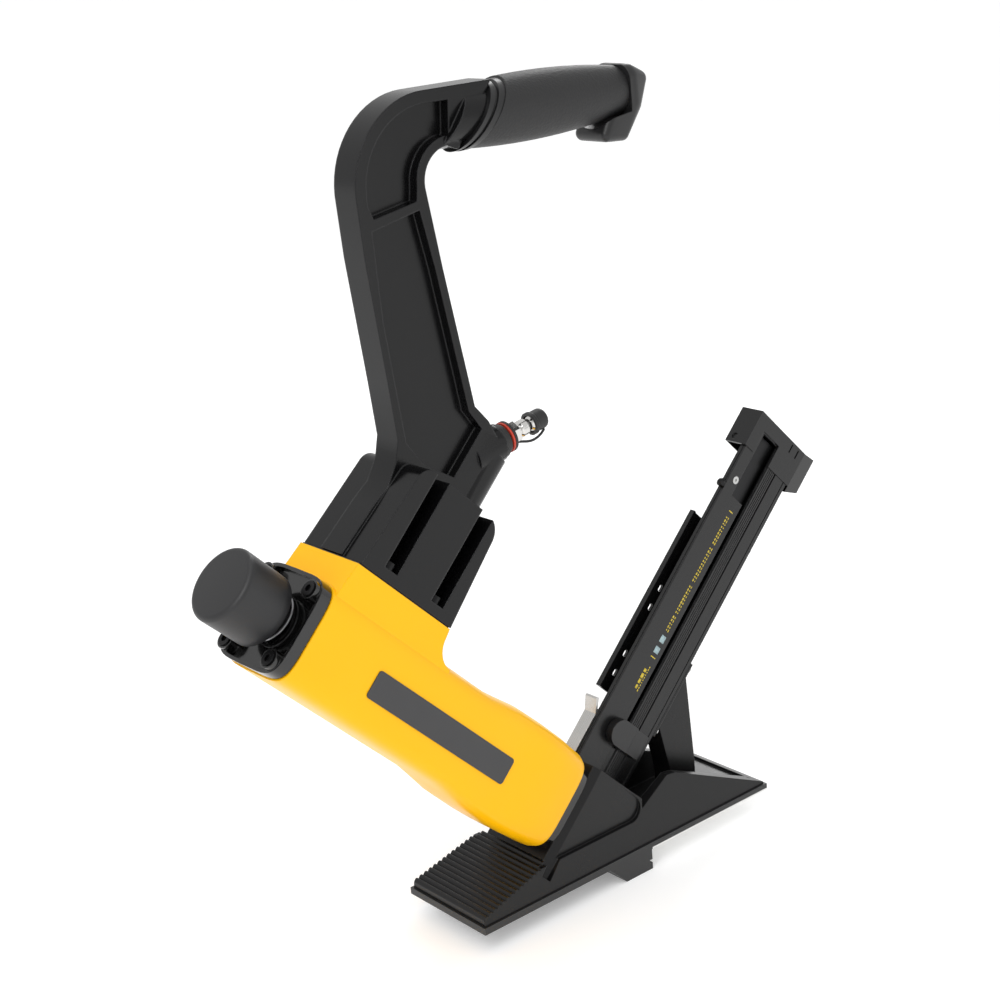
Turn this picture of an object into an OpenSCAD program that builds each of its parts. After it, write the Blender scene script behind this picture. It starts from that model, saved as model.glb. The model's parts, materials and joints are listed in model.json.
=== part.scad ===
// Mallet-struck pneumatic flooring nailer, a stapler for tongue-and-groove boards.
// X runs along the sole, away from the board's edge, Y across it and Z up.
// The origin is where the board's top face meets the tongue stop, on the centre plane.
// Inside tool(), z is the height up the driver's axis from the exit, and x runs up the magazine.

/* [Foot] */
// Length of the sole
sole_len = 280; // [260:5:340]
// Width of the sole
sole_w = 82; // [76:1:100]
// Thickness of the sole
sole_t = 5; // [4:0.5:7]
// Length of the toe in front of the tongue stop
toe_len = 157; // [150:1:185]
// Depth of the tongue stop below the sole
stop_depth = 15.5; // [13:0.5:18]
// Step between the sole's edge and the shoe
lip = 1.8; // [1:0.1:3]
// Number of grip ribs on the toe
rib_count = 15; // [8:1:20]
// Height of a grip rib
rib_h = 1.7; // [0.5:0.1:2.5]
// Thickness of the shoe's side walls
shoe_wall = 5.5; // [4:0.5:8]

/* [Fastener and magazine] */
// Length of the longest staple's leg
staple_leg = 51; // [38:1:60]
// Width across the staple's crown
staple_crown = 12.7; // [10:0.1:14]
// Height of the magazine's underside up the driver's axis
mag_low = 29; // [26:1:36]
// Length of the magazine rail
mag_len = 309; // [250:1:370]
// Wall of the magazine rail
rail_wall = 2.5; // [2:0.1:3.5]
// Travel of the pusher
pusher_travel = 215; // [150:5:215]

/* [Air motor] */
// Radius of the piston
piston_r = 23.8; // [20:0.1:29]
// Length of the piston
piston_len = 26; // [18:1:34]
// Length of the rubber bumper
bumper_len = 30; // [20:1:40]
// Wall of the cylinder sleeve
sleeve_wall = 3.6; // [2.5:0.1:5]
// Wall of the body casting at its thinnest
body_wall = 6.3; // [5:0.1:9]
// Length of the air chamber above the head valve
chamber_len = 27; // [20:1:50]
// Lift of the head valve
head_lift = 6; // [3:0.5:8]

/* [Strike cap] */
// Radius of the strike cap
cap_r = 25; // [23:0.5:26]
// Height of the strike cap
cap_len = 37; // [32:1:45]
// Travel of the strike cap
cap_travel = 10; // [6:0.5:10]

/* [Handle] */
// Length of the neck between the body and the handle
neck_len = 18.5; // [12:0.5:28]
// Reach of the handle's base block
block_len = 75; // [70:1:90]
// Half the width of the handle's base block
block_half_w = 31; // [26:0.5:36]
// Half the thickness of the handle's arm
arm_half_w = 11; // [9:0.5:14]
// Radius of the grip at its fullest
grip_r = 22; // [19:0.1:24]
// Length of the grip
grip_len = 122; // [100:1:150]
// Depth of the pockets in the arm
pocket_depth = 7.5; // [4:0.5:8]

/* [Fits] */
// Radial gap of a running fit
run_gap = 0.2; // [0.1:0.05:0.3]
// Gap between pieces that pass each other
pass_gap = 0.3; // [0.2:0.05:0.5]
// Gap around a screw's shank
screw_gap = 0.15; // [0.1:0.05:0.4]

/* [Hidden] */
$fn = 48;
eps = 0.01;

// ---- Heights up the driver's axis -------------------------------------------------------
exit_drop = 11;                                   // exit below the board's top face
crown_room = 5;                                   // space over the crown in the magazine
flange_t = 3;                                     // top and bottom flanges of the rail
mag_high = mag_low + 2 * flange_t - 3 + staple_leg + crown_room;
seat_h = mag_high + 4;                            // top of the shoe, where the nose seats
nose_t = 9.5;                                     // nose plate
body_h0 = seat_h + nose_t;
body_floor = 6.5;
bore_h0 = body_h0 + body_floor;
tip_gap = 0.4;                                    // driver tip inside the exit when fired
stroke = seat_h - tip_gap;
piston_h0 = bore_h0 + bumper_len + pass_gap + stroke;
sleeve_h1 = piston_h0 + piston_len + 5;
head_valve_t = 20;
head_valve_h0 = sleeve_h1 + pass_gap;
valve_len = 30;                                   // firing-valve sleeve
plug_len = 24;                                    // part of the head cap inside the bore
plug_h0 = head_valve_h0 + head_valve_t + head_lift + chamber_len + valve_len;
body_h1 = plug_h0 + plug_len;

// ---- Radii across the driver's axis -----------------------------------------------------
sleeve_r0 = piston_r + run_gap;
sleeve_r1 = sleeve_r0 + sleeve_wall;
bore_r = sleeve_r1 + 0.6;
body_a = bore_r + body_wall;                      // half width of the body
nose_half = body_a - 4.5;
bolt_off = body_a - 12.5;                         // nose and head bolts from the axis
bolt_r = 3;
guide_screw_r = 1.5;
guide_head_r = 2.8;
square_n = 5;                                     // roundness of the body's section

// ---- Foot -------------------------------------------------------------------------------
heel_x = sole_len - toe_len;
floor_z = sole_t + 3;
toe_z = 9.5;
seat_back = body_a + 5.5;                         // back edge of the seat from the axis
cheek_m = body_a;                                 // front edge of the cheeks
cheek_low = 36;
cheek_half = 33.2;                                // half width over the cheeks
cheek_z = 25;                                     // top of the side walls below the cheeks
cheek_step_m = 33;
cheek_fillet = 10;
shoe_half_low = sole_w / 2 - lip;
shoe_half_high = sole_w / 2 - 8;
pocket_half = shoe_half_high - shoe_wall;         // half width between the heel gussets
housing_half = pocket_half - 0.5;
shoe_mid_z = 48;
shoe_top_z = 100;
peak_z = 47;
nose_half_w = 9;                                  // driver guide, half width
nose_back = 9;                                    // driver guide, depth behind the blade
nose_front = 8;                                   // guide cover, depth in front
slot_half_w = nose_half_w + 1.5;                  // slot for the nose in the foot
stop_len = 26;
stop_run = stop_len + stop_depth;
notch_z = 8;
notch = 2.5;
sole_screw_r = 2.5;
sole_screw_len = 9.5;
sole_screw_head = [5, 3];
sole_screw_xy = [[-toe_len + 22, 28], [-toe_len + 90, 33], [heel_x - 12, 31]];
strut_screw_x = [60, 72];

// ---- Blade and magazine -----------------------------------------------------------------
blade_w = staple_crown;
blade_t = 1.8;
channel_w = blade_w + 2 * pass_gap;
channel_t = blade_t + 2 * pass_gap;
rail_m0 = nose_front + 0.5;
rail_m1 = rail_m0 + mag_len;
rail_half = staple_crown / 2 + 0.65 + rail_wall;  // half width of the rail
rail_flange = 5.2;                                // top flange over the near channel
core_half = staple_crown / 2 - 1.55;
core_top = mag_high - flange_t - crown_room - 2;
far_wall_top = mag_high - 22;
side_rail_m = [90, 238];
side_rail_rim = 4.2;
side_hole_m = [105, 121, 160, 176];
side_hole_r = 1.8;
slot_h = mag_low + 29.5;                          // pusher slot in the near wall
slot_t = 4.2;
slot_m = [57, rail_m1];
window_m = [261, rail_m1];
window_h = [slot_h + 3, slot_h + 18];
cap_m0 = rail_m1 - 20;                            // end cap, where it starts
cap_m1 = rail_m1 + 9;
cap_gap = 0.2;
cap_wall = 2.2;
strut_m = [90, 133];
strut_half_w = 9;
strut_toe = 9;                                    // flange at each end of the strut's top
rivet_r = 2;
rail_rivet_r = 1.4;
pusher_m = [58, 77];
pusher_mid = (pusher_m[0] + pusher_m[1]) / 2;
pusher_y0 = -rail_half - pass_gap;
pusher_d = 6;
coil_r = 8.4;
latch_m = 22;
latch_h = seat_h + 2.8;
latch_low = mag_high + pass_gap;                  // underside of the lever on the magazine
latch_t = 1.5;
latch_w = 11.2;
latch_pin_r = 1.5;

// ---- Head -------------------------------------------------------------------------------
flange_h = 5;
boss_h = 13;
boss_r = 6.6;
stem_r = 5;
tower_r = 14;
tower_h = 25;
cap_h0 = body_h1 + 17;
cap_h1 = cap_h0 + cap_len;
cap_roof = 14.5;                                  // solid top of the strike cap
cap_cavity_r = 19;
valve_r = 9.2;
spool_len = 12;
spool_h0 = plug_h0 - valve_len + cap_travel + 1;

// ---- Handle -----------------------------------------------------------------------------
seat_m = body_a + neck_len;
seat_mid = body_h1 - 50;
seat_half = 45.5;
gasket_t = 0.8;
passage_v = -26;                                  // air passage below the seat's centre
passage_r = 7;
groove_v = [20, passage_v];
groove_t = 12;
block_foot = 8;                                   // flange that the handle screws hold
handle_screw_y = block_half_w - 6.5;
handle_screw_r = 2.75;
grip_z = 281;                                     // grip's axis above the seat's centre
bar_r = 11;
collar_x = 104;
collar_tilt = 37;
collar_t = 9;
neck_r = 17;
grip_x0 = 108;
grip_waist = 3.6;                                 // how much slimmer the grip is at its ends
grip_x1 = grip_x0 + grip_len;
elbow_c = [63.7, 246.3];
elbow_r = 56;
inner_c = [80.7, 246.3];
inner_r = 21;
inlet_x = 112.7;
inlet_z = 69.3;
inlet_tilt = 10;
boss_len = 46;                                    // inlet boss beyond the block
inlet_r = 13;

// ---- Frames and helpers -----------------------------------------------------------------
// point in X and Z of a place given along the magazine and up the driver's axis
function mh(m, h) = [(m - h) / sqrt(2), (m + h) / sqrt(2) - exit_drop];

// sum of X and Z of all points at the place m along the magazine
function mh_sum(m) = m * sqrt(2) - exit_drop;

// points of an arc about c, from angle a0 to a1
function arc(c, r, a0, a1, n = 10) =
  [for (i = [0:n]) c + r * [cos(a0 + (a1 - a0) * i / n), sin(a0 + (a1 - a0) * i / n)]];

// outline between a circle and a square, of half widths a and b
function soft_square(a, b, n = square_n, count = 48) =
  [for (i = [0:count - 1]) let (t = 360 * i / count, c = cos(t), s = sin(t))
    [a * sign(c) * pow(abs(c), 2 / n), b * sign(s) * pow(abs(s), 2 / n)]];

module tool() {
  translate([0, 0, -exit_drop]) rotate([0, -45, 0]) children();
}

// upright frame at the centre of the handle's seat
module handle_frame() {
  tool() translate([seat_m, 0, seat_mid]) rotate([0, 45, 0]) children();
}

// frame of the air inlet, with z out along the plug
module inlet_frame() {
  handle_frame() translate([inlet_x, 0, inlet_z]) rotate([0, 90 - inlet_tilt, 0]) children();
}

// outline in x and z, made w wide and centred on y
module across(w) {
  rotate([90, 0, 0]) linear_extrude(w, center = true) children();
}

// outline in y and z, run along x
module along(len) {
  rotate([90, 0, 90]) linear_extrude(len) children();
}

module both_sides() {
  children();
  mirror([0, 1, 0]) children();
}

module round_rect(x, y, r) {
  square([x, y - 2 * r], center = true);
  square([x - 2 * r, y], center = true);
  for (sx = [-1, 1], sy = [-1, 1]) translate([sx * (x / 2 - r), sy * (y / 2 - r)]) circle(r);
}

module tube(r0, r1, len) {
  difference() {
    cylinder(r = r1, h = len);
    translate([0, 0, -1]) cylinder(r = r0, h = len + 2);
  }
}

module torus(r, wire) {
  rotate_extrude() translate([r, 0]) circle(wire, $fn = 24);
}

// socket screw: shank down from z = 0, head above it
module socket_screw(r, len, head_r, head_h) {
  difference() {
    union() {
      translate([0, 0, -len]) cylinder(r = r, h = len);
      cylinder(r = head_r, h = head_h);
    }
    translate([0, 0, head_h * 0.4]) cylinder(r = head_r * 0.52, h = head_h, $fn = 6);
  }
}

// countersunk screw: head face at z = 0, shank down
module flush_screw(r, len, head_r, head_h) {
  difference() {
    union() {
      translate([0, 0, -len]) cylinder(r = r, h = len);
      translate([0, 0, -head_h]) cylinder(r1 = r, r2 = head_r, h = head_h);
    }
    translate([0, 0, -head_h * 0.6]) cylinder(r = head_r * 0.4, h = head_h, $fn = 6);
  }
}

// hole that a flush screw fits, with the gap g
module flush_hole(r, len, head_r, head_h, g = screw_gap) {
  translate([0, 0, -len - 0.5]) cylinder(r = r + g, h = len + 0.5 + eps);
  translate([0, 0, -head_h - g]) cylinder(r1 = r + g, r2 = head_r + g, h = head_h + g);
  translate([0, 0, -eps]) cylinder(r = head_r + g, h = 1);
}

// open coil of wire from z = 0 to len
module coil_spring(r, wire, len, turns, sides = 6, steps = 14) {
  count = turns * steps;
  rings = [for (i = [0:count]) let (t = 360 * i / steps)
    [for (k = [0:sides - 1]) let (q = 360 * k / sides, d = r + wire * cos(q))
      [d * cos(t), d * sin(t), wire + (len - 2 * wire) * i / count + wire * sin(q)]]];
  sides_f = [for (i = [0:count - 1], k = [0:sides - 1])
    let (a = i * sides + k, b = i * sides + (k + 1) % sides)
    each [[a, a + sides, b], [b, a + sides, b + sides]]];
  start = [for (k = [0:sides - 1]) k];
  end = [for (k = [0:sides - 1]) count * sides + sides - 1 - k];
  polyhedron([for (ring = rings) each ring], concat([start], sides_f, [end]), convexity = 8);
}

// skin through a list of [height, half width, half depth]
module loft(stations, count = 48) {
  rings = [for (s = stations) [for (p = soft_square(s[1], s[2])) [p[0], p[1], s[0]]]];
  last = (len(stations) - 1) * count;
  skin = [for (i = [0:len(stations) - 2], k = [0:count - 1])
    let (a = i * count + k, b = i * count + (k + 1) % count)
    each [[a, a + count, b], [b, a + count, b + count]]];
  base = [for (k = [0:count - 1]) k];
  top = [for (k = [0:count - 1]) last + count - 1 - k];
  polyhedron([for (ring = rings) each ring], concat([base], skin, [top]), convexity = 4);
}

// ---- Foot -------------------------------------------------------------------------------
module sole_screw_places() {
  for (p = sole_screw_xy, s = [-1, 1]) translate([p[0], s * p[1], 0]) rotate([180, 0, 0]) children();
  for (x = strut_screw_x) translate([x, 0, 0]) rotate([180, 0, 0]) children();
}

module sole_plate() color("dimgray") difference() {
  union() {
    translate([-toe_len, -sole_w / 2, 0]) cube([sole_len, sole_w, sole_t]);
    both_sides() translate([0, -sole_w / 4 - slot_half_w / 2, 0])
      across(sole_w / 2 - slot_half_w) polygon([
        [-stop_run, 0], [-stop_run, 1], [0, 1], [0, -notch_z], [-notch, -notch_z],
        [-notch, -notch_z - notch], [0, -notch_z - notch], [0, -stop_depth], [-stop_len, -stop_depth]]);
  }
  translate([-stop_run + 6, -slot_half_w, -1]) cube([stop_run + 2, 2 * slot_half_w, sole_t + 2]);
  sole_screw_places() flush_hole(sole_screw_r, sole_screw_len, sole_screw_head[0], sole_screw_head[1]);
}

module sole_screws() color("black")
  sole_screw_places() flush_screw(sole_screw_r, sole_screw_len, sole_screw_head[0], sole_screw_head[1]);

// side outline of the shoe: ribbed ramp, seat, cheek and heel gusset
function shoe_outline() =
  let (x0 = -toe_len + lip, foot = mh(-seat_back, seat_h), x1 = foot[0],
       run = (x1 - x0) / rib_count, rise = (foot[1] - toe_z) / rib_count)
  concat(
    [[x0, sole_t]],
    [for (i = [0:rib_count - 1]) each [
      [x0 + run * i, toe_z + rise * i],
      [x0 + run * (i + 0.3), toe_z + rise * (i + 0.3) + rib_h],
      [x0 + run * (i + 0.6), toe_z + rise * (i + 0.6) + rib_h]]],
    [foot, mh(cheek_m, seat_h), mh(cheek_m, cheek_low), [-2.4, 31.4], [26, peak_z],
     [34, peak_z - 1], [heel_x - lip, sole_t + 1.5], [heel_x - lip, sole_t]]);

module shoe_section() {
  polygon([[-shoe_half_low, sole_t], [shoe_half_low, sole_t], [shoe_half_high + 0.5, shoe_mid_z],
    [shoe_half_high - 0.5, shoe_top_z], [-shoe_half_high + 0.5, shoe_top_z],
    [-shoe_half_high - 0.5, shoe_mid_z]]);
}

module shoe() color("black") difference() {
  intersection() {
    across(2 * sole_w) polygon(shoe_outline());
    translate([-toe_len, 0, 0]) along(sole_len) shoe_section();
  }
  // housing between the cheeks, open towards the heel
  intersection() {
    tool() translate([-body_a + 4, -housing_half, -60]) cube([3 * body_a, 2 * housing_half, seat_h + 52]);
    translate([-toe_len, -sole_w / 2, floor_z]) cube([sole_len, sole_w, 200]);
  }
  // pocket between the heel gussets
  translate([-24, -pocket_half, floor_z]) cube([heel_x - lip - 8 + 24, 2 * pocket_half, 100]);
  // cheeks set back above the side walls, with their upper edges bevelled
  both_sides() translate([0, cheek_half + 10, 0]) across(20) polygon(concat(
    [[-toe_len, cheek_z]],
    arc([mh_sum(cheek_step_m) - cheek_z - cheek_fillet / tan(22.5), cheek_z + cheek_fillet],
      cheek_fillet, -90, 45, 8),
    [mh(cheek_step_m, seat_h + 2), [-toe_len, 110]]));
  tool() both_sides() translate([-50, 0, 0]) along(50 + cheek_m + 1) polygon([
    [cheek_half + 0.7, seat_h - 8], [sole_w, seat_h - 8], [sole_w, seat_h + 1], [cheek_half - 3.6, seat_h + 1]]);
  // way through the seat for the nose and the magazine
  tool() translate([-nose_back - 0.5, -rail_half - 1.8, seat_h - 20])
    cube([90, 2 * rail_half + 3.6, 40]);
  translate([-stop_run + 6, -slot_half_w, 0]) cube([stop_run + 2, 2 * slot_half_w, 20]);
  tool() nose_bolt_places() translate([0, 0, -30]) cylinder(r = bolt_r + screw_gap, h = 40);
  sole_screw_places() translate([0, 0, -sole_screw_len - 1])
    cylinder(r = sole_screw_r + screw_gap, h = sole_screw_len + 1);
}

// leg between the shoe and the magazine
module strut() color("black") difference() {
  union() {
    across(2 * strut_half_w) polygon([
      mh(strut_m[0], mag_low - 1), mh(strut_m[1], mag_low - 1), [79, 30], [79, floor_z],
      [55, floor_z], [53, 33]]);
    tool() translate([strut_m[0] - strut_toe, -strut_half_w - 0.6, mag_low - 2.5])
      cube([strut_m[1] - strut_m[0] + 2 * strut_toe, 2 * strut_half_w + 1.2, 2.5]);
  }
  for (x = strut_screw_x) translate([x, 0, 0])
    cylinder(r = sole_screw_r + screw_gap, h = sole_screw_len + 1);
  tool() strut_rivet_places() translate([0, 0, -4]) cylinder(r = rivet_r + screw_gap, h = 8);
}

module strut_rivet_places() {
  for (m = [strut_m[0] - strut_toe / 2, strut_m[1] + strut_toe / 2], s = [-1, 1])
    translate([m, s * (strut_half_w - 2.6), mag_low]) children();
}

module strut_rivets() color("silver") tool() strut_rivet_places() {
  translate([0, 0, -2.5]) cylinder(r = rivet_r, h = 2.5 + flange_t);
  translate([0, 0, -3.7]) cylinder(r = rivet_r + 1, h = 1.2);
}

// ---- Nose -------------------------------------------------------------------------------
module nose_bolt_places() {
  for (sx = [-1, 1], sy = [-1, 1]) translate([sx * bolt_off, sy * bolt_off, seat_h]) children();
}

module nose_plate() color("black") tool() difference() {
  translate([0, 0, seat_h]) linear_extrude(nose_t) polygon(soft_square(nose_half + 2, nose_half + 2));
  translate([-channel_t / 2, -channel_w / 2, 0]) cube([channel_t, channel_w, 400]);
  nose_bolt_places() translate([0, 0, -1]) cylinder(r = bolt_r + screw_gap, h = 30);
  // pocket and pin hole of the latch
  translate([latch_m - 5, -latch_w / 2 - pass_gap, seat_h - 1]) cube([60, latch_w + 2 * pass_gap, 8]);
  translate([latch_m, 0, latch_h]) rotate([90, 0, 0]) cylinder(r = latch_pin_r + 0.05, h = latch_w + 12.4, center = true);
  guide_screw_places() translate([0, 0, -1]) cylinder(r = guide_screw_r + screw_gap, h = 30);
  guide_screw_places() translate([0, 0, nose_t - 4]) cylinder(r = guide_head_r + screw_gap, h = 10);
}

module nose_bolts() color("black") tool() nose_bolt_places()
  translate([0, 0, -8]) rotate([180, 0, 0]) socket_screw(bolt_r, nose_t + 8 + 5, 5, 4.5);

module guide_screw_places() {
  for (sy = [-1, 1]) translate([-5, sy * 5.5, seat_h]) children();
}

module driver_guide() color("silver") tool() difference() {
  across(2 * nose_half_w) polygon([[-nose_back, nose_back], [0, 0], [channel_t / 2, channel_t / 2],
    [channel_t / 2, seat_h], [-nose_back, seat_h]]);
  translate([-channel_t / 2, -channel_w / 2, -5]) cube([channel_t + 1, channel_w, seat_h + 10]);
  guide_screw_places() translate([0, 0, -12]) cylinder(r = guide_screw_r + screw_gap, h = 14);
}

module guide_cover() color("silver") tool() difference() {
  across(2 * nose_half_w) polygon([[channel_t / 2 + 0.05, channel_t / 2 + 0.05], [nose_front, nose_front],
    [nose_front, seat_h], [channel_t / 2 + 0.05, seat_h]]);
  // feed window for one staple
  translate([0, -channel_w / 2 - 0.1, mag_low + flange_t]) cube([nose_front + 1, channel_w + 0.2,
    mag_high - mag_low - 2 * flange_t + 1]);
}

module guide_screws() color("black") tool() guide_screw_places()
  translate([0, 0, nose_t - 4]) socket_screw(guide_screw_r, 14, guide_head_r, 3);

// ---- Body -------------------------------------------------------------------------------
lobe_top = body_h0 + 108;
body_stations = [
  [body_h0, body_a + 1, body_a + 0.5], [body_h0 + 5, body_a + 2.6, body_a + 1.8],
  [body_h0 + 28, body_a + 4.2, body_a + 2.8], [body_h0 + 48, body_a + 4.6, body_a + 1.8],
  [body_h0 + 64, body_a + 4.4, body_a], [body_h0 + 76, body_a + 4, body_a],
  [lobe_top - 14, body_a + 1.6, body_a], [lobe_top, body_a, body_a], [body_h1, body_a, body_a]];

module body_neck() {
  h0 = seat_mid - seat_half;
  h1 = seat_mid + seat_half;
  r = neck_len - 2;
  across(2 * block_half_w) polygon(concat(
    [[body_a - 12, h1 + 3], [body_a - 12, h0 - 20]],
    arc([body_a + r - 3, h0 - r - 1], r, 180, 95),
    [[seat_m, h0], [seat_m, h1]]));
}

module body_casting() color("gold") tool() difference() {
  union() {
    loft(body_stations);
    body_neck();
  }
  translate([0, 0, bore_h0]) cylinder(r = bore_r, h = body_h1);
  translate([0, 0, body_h0 - 1]) cylinder(r = blade_w / 2 + 3, h = body_floor + 2);
  translate([0, 0, seat_mid + passage_v]) rotate([0, 90, 0]) cylinder(r = passage_r * 2, h = seat_m + 1);
  nose_bolt_places() cylinder(r = bolt_r + screw_gap, h = nose_t + 6);
  head_screw_places() translate([0, 0, -16]) cylinder(r = bolt_r + screw_gap, h = 20);
  handle_screw_places() translate([0, 0, -15]) cylinder(r = handle_screw_r + screw_gap, h = 20);
}

label_m = -3;
label_w = 19;
label_h = [body_h0 + 67, body_h0 + 208];

// plain panel let into the side of the body
module label_panel() {
  tool() translate([label_m, -body_a - 0.05, (label_h[0] + label_h[1]) / 2]) rotate([90, 0, 0])
    linear_extrude(0.7) round_rect(label_w, label_h[1] - label_h[0], 2.5);
}

module label_near() color("dimgray") label_panel();

module label_far() color("dimgray") mirror([0, 1, 0]) label_panel();

// ---- Air motor --------------------------------------------------------------------------
seal_wire = 1.2;
sleeve_len = sleeve_h1 - bore_h0;
seal_h = [14, sleeve_len - 24, sleeve_len - 10];

module cylinder_sleeve() color("silver") tool() translate([0, 0, bore_h0]) difference() {
  tube(sleeve_r0, sleeve_r1, sleeve_len);
  for (z = seal_h) translate([0, 0, z]) torus(sleeve_r1 - seal_wire + 0.5, seal_wire + 0.05);
  // return-air ports
  for (k = [0:7]) rotate(45 * k) translate([0, 0, bumper_len + 30]) rotate([0, 90, 0])
    cylinder(r = 1.6, h = bore_r);
}

module sleeve_seals() color("black") tool() translate([0, 0, bore_h0])
  for (z = seal_h) translate([0, 0, z]) torus(sleeve_r1 - seal_wire + 0.5, seal_wire);

module bumper() color("black") tool() translate([0, 0, bore_h0]) rotate_extrude()
  polygon([[blade_w / 2 + 2.5, 0], [sleeve_r0 - 0.5, 0], [sleeve_r0 - 0.5, bumper_len * 0.35],
    [sleeve_r0 - 3, bumper_len * 0.5], [sleeve_r0 - 3, bumper_len * 0.8], [sleeve_r0 - 5, bumper_len],
    [blade_w / 2 + 4, bumper_len], [blade_w / 2 + 2.5, bumper_len * 0.8]]);

ring_wire = 1.4;

module piston() color("silver") tool() translate([0, 0, piston_h0]) difference() {
  cylinder(r = piston_r, h = piston_len);
  translate([0, 0, piston_len - 6]) torus(piston_r - ring_wire + 0.1, ring_wire + 0.05);
  translate([0, 0, 7]) tube(piston_r - 3, piston_r + 1, 7);
  translate([0, 0, 10]) cylinder(r = piston_r - 7, h = piston_len);
}

module piston_ring() color("black") tool() translate([0, 0, piston_h0 + piston_len - 6])
  torus(piston_r - ring_wire + 0.1, ring_wire);

module driver_blade() color("silver") tool()
  translate([-blade_t / 2, -blade_w / 2, seat_h]) cube([blade_t, blade_w, piston_h0 - seat_h]);

// ---- Head valve -------------------------------------------------------------------------
module head_valve() color("white") tool() translate([0, 0, head_valve_h0]) difference() {
  cylinder(r = bore_r - run_gap, h = head_valve_t);
  translate([0, 0, -1]) cylinder(r = 8, h = head_valve_t + 2);
  translate([0, 0, 6]) tube(16, bore_r - 4, head_valve_t);
  translate([0, 0, head_valve_t - 4]) torus(bore_r - run_gap - seal_wire + 0.1, seal_wire + 0.05);
}

module head_valve_seal() color("black") tool() translate([0, 0, head_valve_h0 + head_valve_t - 4])
  torus(bore_r - run_gap - seal_wire + 0.1, seal_wire);

head_spring_r = 20.5;
head_spring_h0 = head_valve_h0 + 6.1;

module head_valve_spring() color("silver") tool() translate([0, 0, head_spring_h0])
  coil_spring(head_spring_r, 1.2, plug_h0 - head_spring_h0 - 0.1, 7);

// ---- Head cap, firing valve and strike cap ----------------------------------------------
module head_screw_places() {
  for (sx = [-1, 1], sy = [-1, 1])
    translate([sx * (bolt_off + 2), sy * (bolt_off + 2), body_h1]) children();
}

head_half = body_a - 0.8;
head_base = body_h1 + gasket_t;

module head_gasket() color("black") tool() translate([0, 0, body_h1]) linear_extrude(gasket_t)
  difference() {
    polygon(soft_square(head_half - 1, head_half - 1));
    circle(bore_r);
    for (sx = [-1, 1], sy = [-1, 1]) translate([sx, sy] * (bolt_off + 2)) circle(bolt_r + screw_gap);
  }

module head_cap() color("black") tool() difference() {
  union() {
    translate([0, 0, plug_h0]) cylinder(r = bore_r - run_gap, h = head_base - plug_h0 + 1);
    translate([0, 0, head_base]) linear_extrude(flange_h) polygon(soft_square(head_half, head_half));
    translate([0, 0, head_base]) linear_extrude(flange_h + 3.5) difference() {
      polygon(soft_square(head_half, head_half));
      polygon(soft_square(head_half - 2.4, head_half - 2.4));
    }
    head_screw_places() translate([0, 0, gasket_t]) cylinder(r = boss_r, h = boss_h - gasket_t);
    // ribs from the screw bosses towards the tower
    for (k = [0:3]) rotate(45 + 90 * k) translate([cap_r + 2, -2, body_h1 + 2])
      cube([8, 4, 7]);
    translate([0, 0, body_h1]) cylinder(r = tower_r, h = tower_h);
  }
  head_screw_places() translate([0, 0, -1]) cylinder(r = bolt_r + screw_gap, h = boss_h + 2);
  head_screw_places() translate([0, 0, boss_h - 3]) cylinder(r = 5 + screw_gap, h = 10);
  translate([0, 0, plug_h0 - 1]) cylinder(r = stem_r + run_gap, h = 90);
  translate([0, 0, plug_h0 - 1]) cylinder(r = valve_r + 0.4, h = 14);
  // groove of the plug's seal, left open as an air relief
  translate([0, 0, plug_h0 + 8]) tube(bore_r - 2, bore_r + 1, 3);
}

module head_screws() color("dimgray") tool() head_screw_places()
  translate([0, 0, boss_h - 3]) socket_screw(bolt_r, boss_h + 12, 5, 4);

module valve_sleeve() color("goldenrod") tool() translate([0, 0, plug_h0 - valve_len])
  tube(valve_r, valve_r + 3.3, valve_len);

module firing_valve() color("goldenrod") tool() translate([0, 0, spool_h0]) difference() {
  cylinder(r = valve_r - run_gap, h = spool_len);
  for (z = [3, spool_len - 3]) translate([0, 0, z]) torus(valve_r, 1);
}

module actuator_stem() color("silver") tool()
  translate([0, 0, spool_h0 + spool_len]) cylinder(r = stem_r, h = cap_h1 - cap_roof - spool_h0 - spool_len);

module return_spring() color("silver") tool() translate([0, 0, head_base + flange_h + 0.1])
  coil_spring(16.5, 0.9, cap_h1 - cap_roof - head_base - flange_h - 0.2, 5);

module strike_cap() color("dimgray") tool() translate([0, 0, cap_h0]) rotate_extrude($fn = 96)
  polygon(concat(
    [[cap_cavity_r, 0], [cap_r - 1, 0], [cap_r - 0.5, 1]],
    arc([cap_r - 3.5, cap_len - 3.5], 3.5, 0, 90, 8),
    [[0, cap_len], [0, cap_len - cap_roof], [cap_cavity_r, cap_len - cap_roof]]));

// ---- Handle -----------------------------------------------------------------------------
module handle_screw_places() {
  for (v = groove_v, sy = [-1, 1])
    translate([seat_m, sy * handle_screw_y, seat_mid + v]) rotate([0, 90, 0]) children();
}

module handle_gasket() color("black") tool() difference() {
  translate([seat_m, -block_half_w + 1, seat_mid - seat_half + 1])
    cube([gasket_t, 2 * block_half_w - 2, 2 * seat_half - 2]);
  translate([0, 0, seat_mid + passage_v]) rotate([0, 90, 0]) cylinder(r = passage_r * 2, h = 200);
  handle_screw_places() translate([0, 0, -1]) cylinder(r = handle_screw_r + screw_gap, h = 5);
}

// base block in the tool's frame, seat at x = 0 and centred on z = 0
module handle_block() {
  difference() {
    across(2 * block_half_w) polygon(concat(
      [[gasket_t, -seat_half], [block_len - 14, -seat_half + 5]],
      arc([block_len - 14, -seat_half + 19], 14, -90, 0),
      arc([block_len - 10, seat_half - 17], 10, 0, 84),
      [[gasket_t, seat_half - 2.5]]));
    both_sides() for (v = groove_v)
      translate([block_foot, -block_half_w - 1, v - groove_t / 2])
        cube([block_len, block_half_w + 1 - arm_half_w - 0.5, groove_t]);
  }
}

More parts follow.
